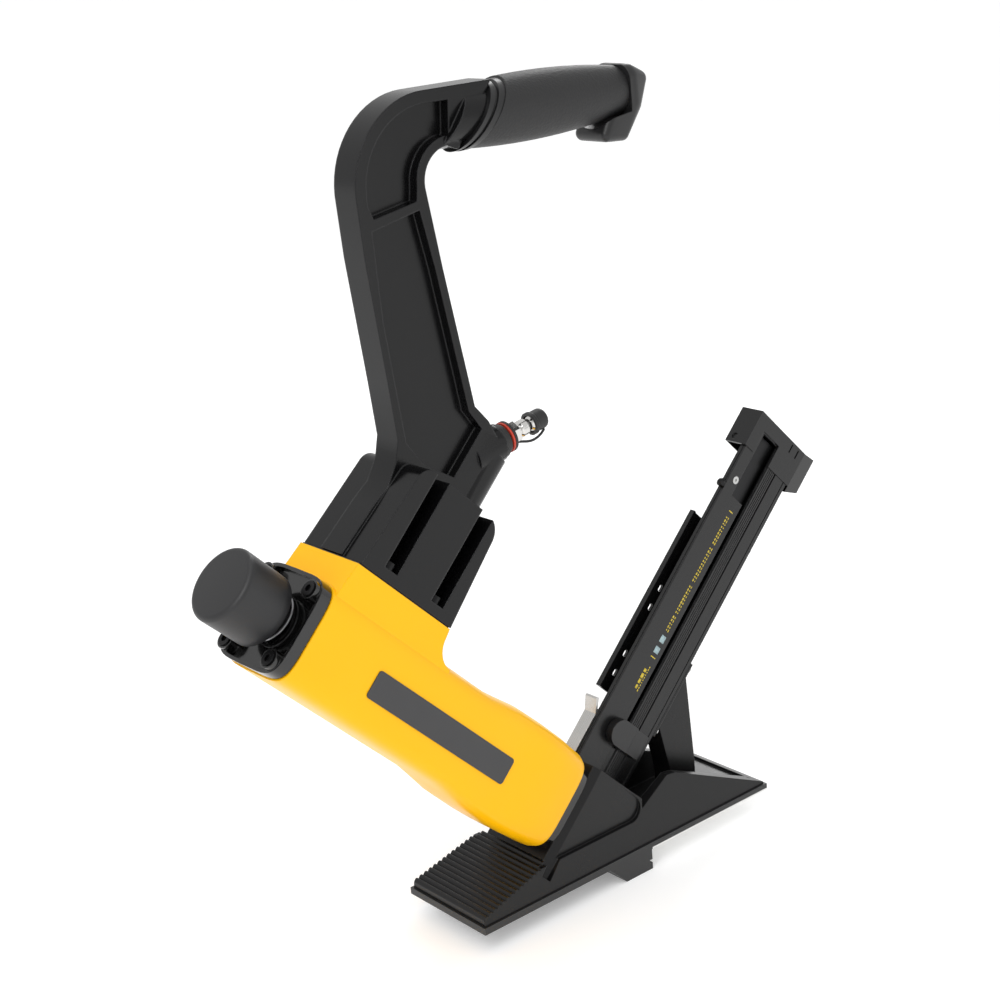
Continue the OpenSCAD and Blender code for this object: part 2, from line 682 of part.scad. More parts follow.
// outline of the arm in the upright frame
function arm_outline() = concat(
  [[-31.5 + gasket_t, 33], [-2.3, 57.3], [9.7, 66.3], [17.7, 80.3], [20.7, 93.3], [17.7, 128.3],
   [13.7, 168.3], [9.7, 208.3]],
  arc(elbow_c, elbow_r, 180, 90, 16),
  [[collar_x + 14, elbow_c[1] + elbow_r], [collar_x - 16, grip_z - 17.5]],
  arc(inner_c, inner_r, 95, 186, 10),
  [[67.7, 193.3], [80.7, 118.3], [83.7, 100.3], [93.7, 88.3], [100, 76], [98.7, 53.3], [80.7, 38.3],
   [60, 20], [0, 0]]);

function upper_pocket() = concat(
  [[19, 231.5], [15.7, 240]],
  arc(elbow_c, elbow_r - 8, 175, 90, 12),
  [[83, elbow_c[1] + elbow_r - 8], [81, 271]],
  arc(inner_c, inner_r + 6, 95, 182, 8),
  [[52.5, 237]]);

function lower_pocket() = [
  [17, 224.5], [54, 231.5], [62.2, 193], [75.2, 118], [78.5, 98], [88, 84], [62, 58], [40, 72],
  [27, 90], [23, 128], [18.7, 168]];

module handle() color("black") difference() {
  union() {
    tool() translate([seat_m, 0, seat_mid]) handle_block();
    handle_frame() difference() {
      across(2 * arm_half_w) polygon(arm_outline());
      both_sides() translate([0, -arm_half_w - eps, 0]) {
        translate([0, pocket_depth / 2, 0]) across(pocket_depth) polygon(upper_pocket());
        translate([0, pocket_depth / 2, 0]) across(pocket_depth) polygon(lower_pocket());
      }
    }
    // round neck under the collar and the bar inside the grip
    handle_frame() collar_ring(neck_r, -14, 0);
    handle_frame() translate([collar_x, 0, grip_z]) rotate([0, 90, 0])
      cylinder(r = bar_r, h = grip_x1 + 12 - collar_x);
    // inlet boss along the block, and its hub on the plug's axis
    tool() translate([seat_m + block_len - 6, 0, seat_mid + passage_v]) rotate([0, 90, 0])
      cylinder(r = inlet_r, h = boss_len);
    inlet_frame() translate([0, 0, -30]) cylinder(r = inlet_r, h = 24);
  }
  // air passage
  tool() translate([seat_m, 0, seat_mid + passage_v]) rotate([0, 90, 0])
    cylinder(r = passage_r, h = block_len + boss_len - 16);
  inlet_frame() translate([0, 0, -26]) cylinder(r = passage_r, h = 40);
  tool() handle_screw_places() cylinder(r = handle_screw_r + screw_gap, h = block_foot + 1);
  // the seat is flat
  tool() translate([seat_m + gasket_t - 60, -arm_half_w - 1, seat_mid - seat_half])
    cube([60, 2 * arm_half_w + 2, 2 * seat_half + 8]);
  grip_screw_place() translate([0, 0, -15]) cylinder(r = 2 + screw_gap, h = 16);
}

module handle_screws() color("dimgray") tool() handle_screw_places()
  translate([0, 0, block_foot]) socket_screw(handle_screw_r, block_foot + 13, 4.6, 5);

// slab on the collar's tilted plane, from a to b along the grip
module collar_slab(a, b) {
  translate([collar_x, 0, grip_z]) rotate([0, collar_tilt, 0]) translate([a, -50, -60])
    cube([b - a, 100, 120]);
}

module collar_ring(r, a, b) {
  intersection() {
    translate([collar_x - 40, 0, grip_z]) rotate([0, 90, 0]) cylinder(r = r, h = 80);
    collar_slab(a, b);
  }
}

module grip_collar() color("black") handle_frame() difference() {
  union() {
    collar_ring(20, 0, 3);
    collar_ring(18.6, 2, 6);
    collar_ring(20.4, 5, collar_t);
  }
  translate([collar_x - 60, 0, grip_z]) rotate([0, 90, 0]) cylinder(r = bar_r + 0.05, h = 200);
}

// half thickness of the grip at the share t of its length
function grip_at(t) = grip_r - grip_waist * pow((t - 0.45) / 0.45, 2);

module grip_sleeve() color("dimgray") handle_frame() difference() {
  translate([grip_x0 - 20, 0, grip_z]) rotate([0, 90, 0]) rotate_extrude() polygon(concat(
    [[bar_r + 0.05, 0]],
    [for (i = [0:14]) [grip_at(i / 14), i / 14 * (grip_len + 20)]],
    [[bar_r + 0.05, grip_len + 20]]));
  collar_slab(-80, collar_t + 0.05);
}

module grip_screw_place() {
  handle_frame() translate([grip_x1 + 22, 0, grip_z]) rotate([0, 90, 0]) translate([0, 0, -8])
    children();
}

// end of the grip, with a stop for the hand below it
module grip_end_cap() color("black") difference() {
  handle_frame() difference() {
    hull() {
      for (s = [-1, 1]) {
        translate([grip_x1 + 3.5, s * 8.5, grip_z + 7.5]) sphere(r = 10, $fn = 32);
        translate([grip_x1 + 4, s * 9, grip_z - 8]) sphere(r = 10, $fn = 32);
        translate([grip_x1 + 15, s * 9, grip_z + 6]) sphere(r = 6, $fn = 24);
        translate([grip_x1 - 4, s * 11, grip_z - 27]) sphere(r = 5, $fn = 24);
        translate([grip_x1 - 18, s * 11, grip_z - 26]) sphere(r = 5, $fn = 24);
      }
    }
    translate([grip_x0, 0, grip_z]) rotate([0, 90, 0]) cylinder(r = grip_r + 0.4, h = grip_len + 0.1);
    translate([grip_x1 - 1, 0, grip_z]) rotate([0, 90, 0]) cylinder(r = bar_r + 0.05, h = 13.1);
  }
  grip_screw_place() {
    translate([0, 0, -20]) cylinder(r = 2 + screw_gap, h = 30);
    cylinder(r = 4.2, h = 20);
  }
}

module grip_screw() color("silver") grip_screw_place() socket_screw(2, 14, 4, 3);

// ---- Air inlet --------------------------------------------------------------------------
plug_r = 5.9;

module inlet_boot() color("black") inlet_frame() translate([0, 0, -6]) difference() {
  rotate_extrude() polygon([[7.2, 0], [inlet_r - 1, 0], [inlet_r - 1, 3], [inlet_r - 2.5, 4],
    [inlet_r - 2.5, 6], [8.6, 6], [8.6, 9], [inlet_r - 2.2, 9], [inlet_r - 2.2, 11], [7.2, 12]]);
}

module inlet_seal() color("red") inlet_frame() translate([0, 0, 1.5])
  tube(8.65, inlet_r - 2.4, 1.4);

module air_plug() color("silver") inlet_frame() difference() {
  union() {
    translate([0, 0, -18]) cylinder(r = 6.6, h = 24.5);
    translate([0, 0, 6.5]) cylinder(r = 8, h = 5, $fn = 6);
    translate([0, 0, 11]) rotate_extrude() polygon([[0, 0], [4.4, 0], [4.4, 3], [plug_r, 4.5],
      [plug_r, 9], [4, 10.5], [4, 13], [plug_r, 14.5], [plug_r, 20], [plug_r - 1, 21.5], [0, 21.5]]);
  }
  translate([0, 0, -19]) cylinder(r = 3, h = 60);
}

cap_start = 24.5;

module dust_cap() color("black") inlet_frame() translate([0, 0, cap_start]) rotate_extrude()
  polygon(concat([[plug_r + run_gap, 0], [8, 0], [8, 2.4], [7.2, 3.2], [7.2, 9]],
    arc([3.8, 9.6], 3.4, 0, 90, 6), [[0, 13], [0, 9.2], [plug_r + run_gap, 9.2]]));

// strap that keeps the dust cap: a ring on the plug's collar and a loop to the cap
tether_path = [[6.6, 5.2, 11.5], [8, 6.4, 15], [9.4, 6.9, 20], [10, 6.6, 26], [9.6, 5.6, 31], [8.6, 4.6, 34]];

module dust_tether() color("black") inlet_frame() difference() {
  for (i = [0:len(tether_path) - 2]) hull() {
    translate(tether_path[i]) sphere(r = 0.9, $fn = 10);
    translate(tether_path[i + 1]) sphere(r = 0.9, $fn = 10);
  }
  cylinder(r = 8.3, h = 40);
}

// ---- Magazine ---------------------------------------------------------------------------
// section of the rail in y and height: near wall with lands and ribs, far wall and flanges
module rail_section() {
  near = -rail_half;
  difference() {
    union() {
      translate([near, mag_low]) square([rail_wall, mag_high - mag_low]);
      translate([near, mag_high - flange_t]) square([rail_flange, flange_t]);
      translate([near, mag_low]) square([2 * rail_half, flange_t]);
      translate([rail_half - rail_wall, mag_low]) square([rail_wall, far_wall_top - mag_low]);
    }
    // groove beside the label land, fine ribs and shadow lines
    translate([near - eps, slot_h - 3]) square([1 + eps, 6]);
    for (k = [0:4]) translate([near - eps, slot_h - 5.4 - 2 * k]) square([0.45 + eps, 0.8]);
    translate([near - eps, slot_h - 14.4]) square([1 + eps, 1.6]);
    translate([near - eps, mag_low + 3.2]) square([0.8 + eps, 1]);
    translate([near + 1.6, mag_high - 0.6]) square([1, 1]);
  }
}

rivet_top_m = 264;
rivet_low_m = [206, 239];
side_screw_m = 272;
side_screw_h = mag_high - 8;

module magazine_rail() color("dimgray") tool() difference() {
  translate([rail_m0, 0, 0]) along(mag_len) rail_section();
  translate([slot_m[0], -rail_half - 1, slot_h - slot_t / 2]) cube([slot_m[1] - slot_m[0] - 3, rail_wall + 1.5,
    slot_t]);
  translate([window_m[0], -rail_half - 1, window_h[0] - 2]) cube([window_m[1] - window_m[0] - 3,
    rail_wall + 1.5, window_h[1] - window_h[0] + 2]);
  translate([side_screw_m, -rail_half, side_screw_h]) rotate([90, 0, 0]) flush_hole(1.5, 3, 3, 1.5);
  rail_rivet_places() translate([0, 0, -6]) cylinder(r = rail_rivet_r + screw_gap, h = 12);
  strut_rivet_places() translate([0, 0, -1]) cylinder(r = rivet_r + screw_gap, h = 6);
}

module rail_rivet_places() {
  translate([rivet_top_m, -rail_half + rail_flange / 2 + 0.4, mag_high]) children();
  for (m = rivet_low_m) translate([m, -rail_half + 5.6, mag_low]) rotate([180, 0, 0]) children();
}

module rail_rivets() color("dimgray") tool() rail_rivet_places() {
  translate([0, 0, -flange_t]) cylinder(r = rail_rivet_r, h = flange_t + 1);
  cylinder(r = 3.2, h = 3);
  translate([0, 0, 3]) cylinder(r1 = 3.2, r2 = 1.8, h = 1.2);
}

module side_screw() color("silver") tool()
  translate([side_screw_m, -rail_half, side_screw_h]) rotate([90, 0, 0]) flush_screw(1.5, rail_wall, 3, 1.5);

// far guide plate with its thick rim and through holes
module side_rail() color("dimgray") tool() difference() {
  union() {
    translate([side_rail_m[0], rail_half - rail_wall + 0.2, far_wall_top])
      cube([side_rail_m[1] - side_rail_m[0], rail_wall - 0.2, mag_high - far_wall_top]);
    translate([side_rail_m[0], rail_half - side_rail_rim, mag_high - 2.4])
      cube([side_rail_m[1] - side_rail_m[0], side_rail_rim, 2.4]);
  }
  for (m = side_hole_m, dm = [-1, 0, 1]) translate([m + dm, 0, mag_high - 9.5]) rotate([-90, 0, 0])
    cylinder(r = side_hole_r, h = 40);
}

// bar that the staples straddle
module staple_core() color("silver") tool() difference() {
  translate([rail_m0 + 0.2, -core_half, mag_low + flange_t])
    cube([mag_len - 4, 2 * core_half, core_top - mag_low - flange_t]);
  strut_rivet_places() cylinder(r = rivet_r + 0.5, h = 6);
  rail_rivet_places() translate([0, 0, -6]) cylinder(r = rivet_r + 0.5, h = 7);
}

module magazine_end_cap() color("dimgray") tool() difference() {
  w = 2 * (rail_half + cap_gap + 0.4);
  union() {
    translate([cap_m0, -w / 2, mag_low - cap_wall]) cube([cap_m1 - cap_m0, w, mag_high - mag_low + 2 * cap_wall]);
  }
  translate([cap_m0 - 1, 0, 0]) along(rail_m1 + 0.2 - cap_m0 + 1) translate([0, (mag_low + mag_high) / 2])
    square([2 * (rail_half + cap_gap), mag_high - mag_low + 2 * cap_gap], center = true);
  // near face open over the loading window and the ribbed land
  translate([cap_m0 - 1, -w, window_h[0] - 5]) cube([rail_m1 - cap_m0 - 1, w, window_h[1] - window_h[0] + 7]);
  // recess over the end cap's screw
  translate([cap_m0 + 5, 3.5, mag_high + 1]) cylinder(r = 2.6, h = 10);
  for (k = [0, 1]) translate([cap_m1 - 9, -w / 2 - 1, mag_low + 5 + 9 * k]) cube([7, 2, 1.6]);
  end_cap_screw_place() translate([0, 0, -12]) cylinder(r = 1.6 + screw_gap, h = 14);
}

module end_cap_screw_place() {
  translate([cap_m1, 0, mag_low + 12]) rotate([0, 90, 0]) children();
}

module end_cap_screw() color("silver") tool() end_cap_screw_place()
  socket_screw(1.6, cap_m1 - rail_m1 - 1, 3.2, 2);

module end_cap_tab() color("dimgray") tool() across(2 * rail_half + 0.6) polygon([
  [cap_m0 - 5, mag_low - cap_wall - 0.05], [cap_m1, mag_low - cap_wall - 0.05],
  [cap_m1 + 1.5, mag_low - 15], [cap_m0 + 1, mag_low - 15]]);

// ---- Pusher -----------------------------------------------------------------------------
module pusher() color("black") tool() difference() {
  union() {
    // saddle over the core
    translate([rail_m0 + 4, -rail_half + rail_wall + pass_gap, mag_low + flange_t + 6])
      cube([62, 2 * (rail_half - rail_wall - pass_gap), mag_high - mag_low - 2 * flange_t - 7]);
    translate([pusher_m[0] + 1, -rail_half - 2, slot_h - slot_t / 2 + pass_gap])
      cube([pusher_m[1] - pusher_m[0] - 2, 6, slot_t - 2 * pass_gap]);
    // coil housing and thumb block
    translate([pusher_mid, pusher_y0, slot_h + 8]) rotate([90, 0, 0])
      cylinder(r = coil_r + 1.6, h = pusher_d);
    translate([pusher_mid - coil_r - 1.6, pusher_y0 - pusher_d, slot_h - 6])
      cube([2 * coil_r + 3.2, pusher_d, 14]);
    translate([pusher_m[0], pusher_y0 - pusher_d + 1.5, mag_low + 8]) cube([pusher_m[1] - pusher_m[0],
      pusher_d - 1.5, slot_h - mag_low]);
  }
  translate([0, -core_half - pass_gap, 0]) cube([200, 2 * (core_half + pass_gap), core_top + pass_gap]);
  translate([pusher_mid, pusher_y0 - 1.2, slot_h + 8]) rotate([90, 0, 0])
    cylinder(r = coil_r + 0.3, h = 3.6);
}

module pusher_coil() color("silver") tool()
  translate([pusher_mid, pusher_y0 - 1.4, slot_h + 8]) rotate([90, 0, 0])
    tube(4, coil_r, 3.2);

// ---- Latch ------------------------------------------------------------------------------
module latch_lever() color("silver") tool() difference() {
  union() {
    translate([latch_m, 0, latch_h]) rotate([90, 0, 0]) cylinder(r = 2.6, h = latch_w, center = true);
    across(latch_w) polygon([[latch_m, latch_h - 2.6], [latch_m + 3, latch_h - 2.6],
      [latch_m + 7, latch_low], [70, latch_low], [80.5, latch_low + 6.2], [80, latch_low + 7.8],
      [78.5, latch_low + 8], [69.5, latch_low + latch_t], [latch_m + 7.6, latch_low + latch_t],
      [latch_m + 4, latch_h], [latch_m, latch_h]]);
  }
  translate([latch_m, 0, latch_h]) rotate([90, 0, 0]) cylinder(r = latch_pin_r + 0.1, h = 40, center = true);
}

module latch_pin() color("silver") tool()
  translate([latch_m, 0, latch_h]) rotate([90, 0, 0]) cylinder(r = latch_pin_r, h = latch_w + 12, center = true);

sole_plate();
sole_screws();
shoe();
strut();
strut_rivets();
nose_plate();
nose_bolts();
driver_guide();
guide_cover();
guide_screws();
body_casting();
label_near();
label_far();
cylinder_sleeve();
sleeve_seals();
bumper();
piston();
piston_ring();
driver_blade();
head_valve();
head_valve_seal();
head_valve_spring();
head_gasket();
head_cap();
head_screws();
valve_sleeve();
firing_valve();
actuator_stem();
return_spring();
strike_cap();
handle();
handle_gasket();
handle_screws();
grip_collar();
grip_sleeve();
grip_end_cap();
grip_screw();
inlet_boot();
inlet_seal();
air_plug();
dust_cap();
dust_tether();
magazine_rail();
side_rail();
staple_core();
rail_rivets();
side_screw();
magazine_end_cap();
end_cap_tab();
end_cap_screw();
pusher();
pusher_coil();
latch_lever();
latch_pin();
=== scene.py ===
# %% [markdown]
# This lesson dresses a flooring nailer, the tool that staples tongue-and-groove boards to a
# subfloor. Blender adds the smooth skins, the springs, the strap and the finishes.

# %% Load the frame
import json
import math
import bmesh
import bpy
from mathutils import Matrix, Vector

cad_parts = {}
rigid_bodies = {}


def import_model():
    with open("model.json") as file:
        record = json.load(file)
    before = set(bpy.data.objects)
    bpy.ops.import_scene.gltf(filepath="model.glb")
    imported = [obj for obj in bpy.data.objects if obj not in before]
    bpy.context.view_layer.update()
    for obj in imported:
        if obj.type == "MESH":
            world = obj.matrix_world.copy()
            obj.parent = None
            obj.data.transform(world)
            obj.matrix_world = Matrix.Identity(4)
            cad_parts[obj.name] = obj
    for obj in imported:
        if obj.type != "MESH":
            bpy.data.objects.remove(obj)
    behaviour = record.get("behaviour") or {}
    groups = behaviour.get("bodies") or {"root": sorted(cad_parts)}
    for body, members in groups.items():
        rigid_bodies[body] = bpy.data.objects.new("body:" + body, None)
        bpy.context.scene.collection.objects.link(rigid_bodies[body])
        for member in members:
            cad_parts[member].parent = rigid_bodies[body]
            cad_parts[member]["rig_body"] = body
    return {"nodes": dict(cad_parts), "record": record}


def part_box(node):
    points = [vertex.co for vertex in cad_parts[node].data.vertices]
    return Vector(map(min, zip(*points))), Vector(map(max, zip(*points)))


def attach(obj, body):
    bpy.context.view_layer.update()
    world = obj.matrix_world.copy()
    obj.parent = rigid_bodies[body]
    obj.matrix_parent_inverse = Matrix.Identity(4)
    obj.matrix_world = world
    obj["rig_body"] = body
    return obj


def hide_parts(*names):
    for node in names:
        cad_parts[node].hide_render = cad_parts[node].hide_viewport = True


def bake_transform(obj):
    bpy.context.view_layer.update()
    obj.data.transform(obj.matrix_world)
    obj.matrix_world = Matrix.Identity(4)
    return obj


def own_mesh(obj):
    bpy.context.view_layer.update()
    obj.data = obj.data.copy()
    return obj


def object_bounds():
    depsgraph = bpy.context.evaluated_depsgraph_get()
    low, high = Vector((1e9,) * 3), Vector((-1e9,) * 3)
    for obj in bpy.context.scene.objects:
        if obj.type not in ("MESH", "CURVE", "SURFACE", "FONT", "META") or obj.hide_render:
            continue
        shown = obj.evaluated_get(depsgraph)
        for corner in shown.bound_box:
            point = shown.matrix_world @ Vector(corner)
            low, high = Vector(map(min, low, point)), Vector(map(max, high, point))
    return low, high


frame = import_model()
nodes = frame["nodes"]
cad_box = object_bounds()
print("CAD nodes:", len(nodes), "box:", [tuple(round(v, 3) for v in c) for c in cad_box])

# %% [markdown]
# The tool stands at 45 degrees. Its driver runs down towards the board's tongue, and its
# magazine climbs away from the nose at a right angle to that. Two unit vectors and the exit
# point are enough to say where anything lies: m is along the magazine, h is up the driver.

# %% Directions of the tool
MM = 0.001
SLANT = math.radians(45)
MAGAZINE = Vector((math.cos(SLANT), 0, math.sin(SLANT)))
DRIVER = Vector((-math.sin(SLANT), 0, math.cos(SLANT)))
mounts = {m["name"]: m for m in frame["record"]["mounts"]}
EXIT = Vector(mounts["fastener_exit"]["pos_m"])
PLUG = Vector(mounts["air_plug"]["pos_m"])
PLUG_AXIS = Vector(mounts["air_plug"]["axis"])


def along_tool(m, y, h):
    """Point m along the magazine, y across and h up the driver, given in millimetres."""
    return EXIT + MAGAZINE * (m * MM) + Vector((0, y * MM, 0)) + DRIVER * (h * MM)


def tool_span(node):
    """Lowest and highest m and h of a CAD node, in millimetres."""
    points = [v.co - EXIT for v in nodes[node].data.vertices]
    m = [p.dot(MAGAZINE) / MM for p in points]
    h = [p.dot(DRIVER) / MM for p in points]
    return min(m), max(m), min(h), max(h)


for name in ("magazine_rail", "return_spring", "strike_cap"):
    print(name, [round(v, 1) for v in tool_span(name)])

# %% [markdown]
# The camera comes first, because every finish is judged through it. It stands to the left of
# the toe, a little above the head, and leans over by a few degrees as a hand-held one does.
# A rotation matrix built from three directions is easier to check than three angles.

# %% Camera
AZIMUTH = math.radians(38.83)
ELEVATION = math.radians(18.21)
ROLL = math.radians(4.71)
CAMERA_PLACE = Vector((-0.8142, -0.9112, 0.6647))
LENS = 66.69
SENSOR_WIDTH = 36
NEAREST_SEEN = 0.01

forward = Vector((math.sin(AZIMUTH) * math.cos(ELEVATION),
                  math.cos(AZIMUTH) * math.cos(ELEVATION), -math.sin(ELEVATION)))
level = Vector((math.cos(AZIMUTH), -math.sin(AZIMUTH), 0))
plumb = forward.cross(level)
right = level * math.cos(ROLL) + plumb * math.sin(ROLL)
down = plumb * math.cos(ROLL) - level * math.sin(ROLL)

camera_data = bpy.data.cameras.new("camera")
camera_data.lens = LENS
camera_data.sensor_width = SENSOR_WIDTH
camera_data.clip_start = NEAREST_SEEN
camera = bpy.data.objects.new("camera", camera_data)
bpy.context.scene.collection.objects.link(camera)
camera.matrix_world = Matrix.Translation(CAMERA_PLACE) @ Matrix(
    (right, -down, -forward)).transposed().to_4x4()
bpy.context.scene.camera = camera
print("camera looks along", tuple(round(v, 3) for v in forward))

# %% [markdown]
# A material is a formula, so it reads best written as one. Wire wraps a socket, and its
# operators add the Math nodes. Shader.node makes any other node from its type, its settings
# and the values of its sockets.

# %% Shader helpers
EDGE_GAIN = 9.0        # how fast the mask of worn and painted-highlight edges rises where a corner starts to turn
BEVEL_SAMPLES = 6


class Wire:
    """One output socket of a node tree, with arithmetic."""

    def __init__(self, shader, socket):
        self.shader = shader
        self.socket = socket

    def math(self, operation, a, b, clamp=False):
        node = self.shader.node("ShaderNodeMath", {"operation": operation, "use_clamp": clamp},
                                {0: a, 1: b})
        return node["Value"]

    def __add__(self, other): return self.math("ADD", self, other)
    __radd__ = __add__

    def __sub__(self, other): return self.math("SUBTRACT", self, other)

    def __rsub__(self, other): return self.math("SUBTRACT", other, self)

    def __mul__(self, other): return self.math("MULTIPLY", self, other)
    __rmul__ = __mul__

    def __gt__(self, other): return self.math("GREATER_THAN", self, other)

    def __lt__(self, other): return self.math("LESS_THAN", self, other)

    def held(self): return self.math("ADD", self, 0.0, clamp=True)


class Made:
    """A node whose outputs are read by name."""

    def __init__(self, shader, node):
        self.shader = shader
        self.raw = node

    def __getitem__(self, name):
        return Wire(self.shader, self.raw.outputs[name])


class Shader:
    """A material under construction, with its Principled node."""

    def __init__(self, name, **constants):
        self.material = bpy.data.materials.new(name)
        self.material.use_nodes = True
        self.tree = self.material.node_tree
        self.surface = self.tree.nodes["Principled BSDF"]
        self.place = self.node("ShaderNodeTexCoord")["Object"]
        for socket, value in constants.items():
            self.surface.inputs[socket.replace("_", " ")].default_value = value

    def node(self, kind, settings=None, sockets=None):
        made = self.tree.nodes.new(kind)
        for key, value in (settings or {}).items():
            setattr(made, key, value)
        for key, value in (sockets or {}).items():
            self.put(made.inputs[key], value)
        return Made(self, made)

    def put(self, socket, value):
        if isinstance(value, Wire):
            self.tree.links.new(value.socket, socket)
        else:
            socket.default_value = value

    def feed(self, **wires):
        for socket, wire in wires.items():
            self.put(self.surface.inputs[socket.replace("_", " ")], wire)

    def noise(self, scale, detail=3.0, place=None):
        return self.node("ShaderNodeTexNoise", {}, {"Vector": place or self.place, "Scale": scale,
                                                    "Detail": detail})["Fac"]

    def cells(self, scale):
        return self.node("ShaderNodeTexVoronoi", {}, {"Vector": self.place,
                                                      "Scale": scale})["Distance"]

    def stretched(self, turn, stretch):
        """Object coordinates turned about Y and stretched, for lines along one direction."""
        turned = self.node("ShaderNodeMapping", {},
                           {"Vector": self.place, "Rotation": (0, turn, 0)})
        return self.node("ShaderNodeMapping", {},
                         {"Vector": turned["Vector"], "Scale": stretch})["Vector"]

    def blend(self, factor, a, b):
        mix = self.node("ShaderNodeMix", {"data_type": "RGBA"}, {})
        self.put(mix.raw.inputs[0], factor)
        self.put(mix.raw.inputs[6], a)
        self.put(mix.raw.inputs[7], b)
        return Wire(self, mix.raw.outputs[2])

    def round_edges(self, radius):
        """Normal of the surface with its edges rounded over."""
        return self.node("ShaderNodeBevel", {"samples": BEVEL_SAMPLES}, {"Radius": radius})["Normal"]

    def edges(self, rounded):
        """About 1 along sharp edges and 0 on faces."""
        flat = self.node("ShaderNodeNewGeometry")["Normal"]
        same = self.node("ShaderNodeVectorMath", {"operation": "DOT_PRODUCT"},
                         {0: rounded, 1: flat})["Value"]
        return ((1.0 - same) * EDGE_GAIN).held()

    def bumped(self, height, distance, strength, normal):
        return self.node("ShaderNodeBump", {}, {"Height": height, "Distance": distance,
                                                "Strength": strength, "Normal": normal})["Normal"]


def shade(colour, amount):
    """The colour, lighter or darker by a factor, with its alpha."""
    return tuple(min(c * amount, 1) for c in colour) + (1,)


finishes = {}
print("shader helpers ready")

# %% [markdown]
# Most of the tool is cast aluminium under black powder coat. The coat is a fine orange peel with
# a broad uneven sheen, and its edges are painted paler, partly as wear and partly as a painted
# highlight along them. Rounding the normals at the edges gives the thin highlights that a sharp
# CAD edge can't show.

# %% Painted castings


def coat(name, colour, rough, peel=1800, depth=0.00004, radius=0.0009, wear_and_highlight=1.9, **more):
    s = Shader(name, **more)
    rounded = s.round_edges(radius)
    edge = s.edges(rounded)
    mottle = s.noise(22, 4)
    fine = s.noise(peel, 2)
    tone = s.blend(mottle, shade(colour, 0.86), shade(colour, 1.12))
    # Paler edges: partly wear, partly a painted highlight along each edge.
    scuffs_and_highlights = (edge * (s.noise(160, 4) * 1.5)).held()
    s.feed(Base_Color=s.blend(scuffs_and_highlights, tone, shade(colour, wear_and_highlight)),
           Roughness=(rough + (mottle - 0.5) * 0.14 + (fine - 0.5) * 0.08).held(),
           Normal=s.bumped(fine, depth, 0.8, rounded))
    finishes[name] = s.material


coat("cast_black", (0.0045, 0.0045, 0.0048), 0.30, Specular_IOR_Level=0.32)
coat("cast_satin", (0.0030, 0.0030, 0.0033), 0.22, peel=2600, depth=0.000025, radius=0.0016,
     wear_and_highlight=4.0, Specular_IOR_Level=0.32)
coat("enamel_black", (0.003, 0.003, 0.003), 0.14, peel=900, depth=0.00002, wear_and_highlight=3.0,
     Coat_Weight=0.4)
coat("anodised", (0.0045, 0.0045, 0.0048), 0.28, peel=3500, depth=0.00002, radius=0.0004,
     wear_and_highlight=2.6, Specular_IOR_Level=0.42)
coat("screw_black", (0.006, 0.006, 0.0065), 0.28, peel=3000, radius=0.0003, wear_and_highlight=3.5,
     Metallic=0.6)
print("coats:", sorted(finishes))

# %% [markdown]
# The body is enamelled in a warm yellow. Its gloss is broken only by a very soft orange peel,
# and the colour drifts a little between two close ambers from place to place. Specular level
# and clear coat are kept low, because a white reflection would turn the yellow to lemon.

# %% Yellow enamel
s = Shader("enamel_yellow", Coat_Weight=0.12, Coat_Roughness=0.12, Specular_IOR_Level=0.18)
rounded = s.round_edges(0.0012)
drift = s.noise(9, 3)
peel = s.noise(420, 2)
s.feed(Base_Color=s.blend(drift, (1.0, 0.49, 0.0, 1), (1.0, 0.53, 0.001, 1)),
       Roughness=(0.34 + (s.noise(60, 3) - 0.5) * 0.10).held(),
       Normal=s.bumped(peel, 0.00005, 0.5, rounded))
finishes["enamel_yellow"] = s.material
print("yellow enamel ready")

# %% [markdown]
# Rubber and plastic are told apart by their grain. The grip has a pebbled skin of small
# cells, the strike cap is a hard matt urethane with scuffs from the mallet, and moulded nylon
# has a finer, glossier grain.

# %% Rubber and plastic


def moulded(name, colour, rough, grain, depth, radius=0.0007, **more):
    s = Shader(name, **more)
    rounded = s.round_edges(radius)
    pebble = s.cells(grain)
    cloud = s.noise(30, 4)
    s.feed(Base_Color=s.blend(cloud, shade(colour, 0.8), shade(colour, 1.25)),
           Roughness=(rough + (cloud - 0.5) * 0.15 + pebble * 0.06).held(),
           Normal=s.bumped(pebble, depth, 0.7, rounded))
    finishes[name] = s.material


moulded("grip_rubber", (0.012, 0.012, 0.0125), 0.52, 620, 0.00022)
moulded("strike_rubber", (0.014, 0.014, 0.015), 0.42, 1500, 0.00005, radius=0.0012)
moulded("nylon_black", (0.009, 0.009, 0.0095), 0.32, 2200, 0.00003)
moulded("seal_black", (0.012, 0.012, 0.012), 0.45, 2500, 0.00003)
moulded("seal_red", (0.55, 0.045, 0.02), 0.42, 2500, 0.00002)
moulded("acetal_white", (0.72, 0.71, 0.67), 0.38, 2600, 0.00002)
moulded("panel_grey", (0.040, 0.040, 0.042), 0.50, 3200, 0.00003, radius=0.0004)
print("with rubber and plastic:", len(finishes))

# %% [markdown]
# Bare metal shows how it was worked. Ground steel and stainless strip have fine lines along
# one direction, turned parts have rings, and plating is smooth with a few soft clouds. The
# lines are a noise stretched a hundredfold.

# %% Bare metal


def lined(name, colour, rough, turn, stretch=(30, 900, 900), depth=0.00001):
    s = Shader(name, Metallic=1.0)
    rounded = s.round_edges(0.0004)
    lines = s.noise(1.0, 3, s.stretched(turn, stretch))
    cloud = s.noise(40, 4)
    s.feed(Base_Color=s.blend(cloud, shade(colour, 0.82), shade(colour, 1.08)),
           Roughness=(rough + (lines - 0.5) * 0.25 + (cloud - 0.5) * 0.1).held(),
           Normal=s.bumped(lines, depth, 0.6, rounded))
    finishes[name] = s.material


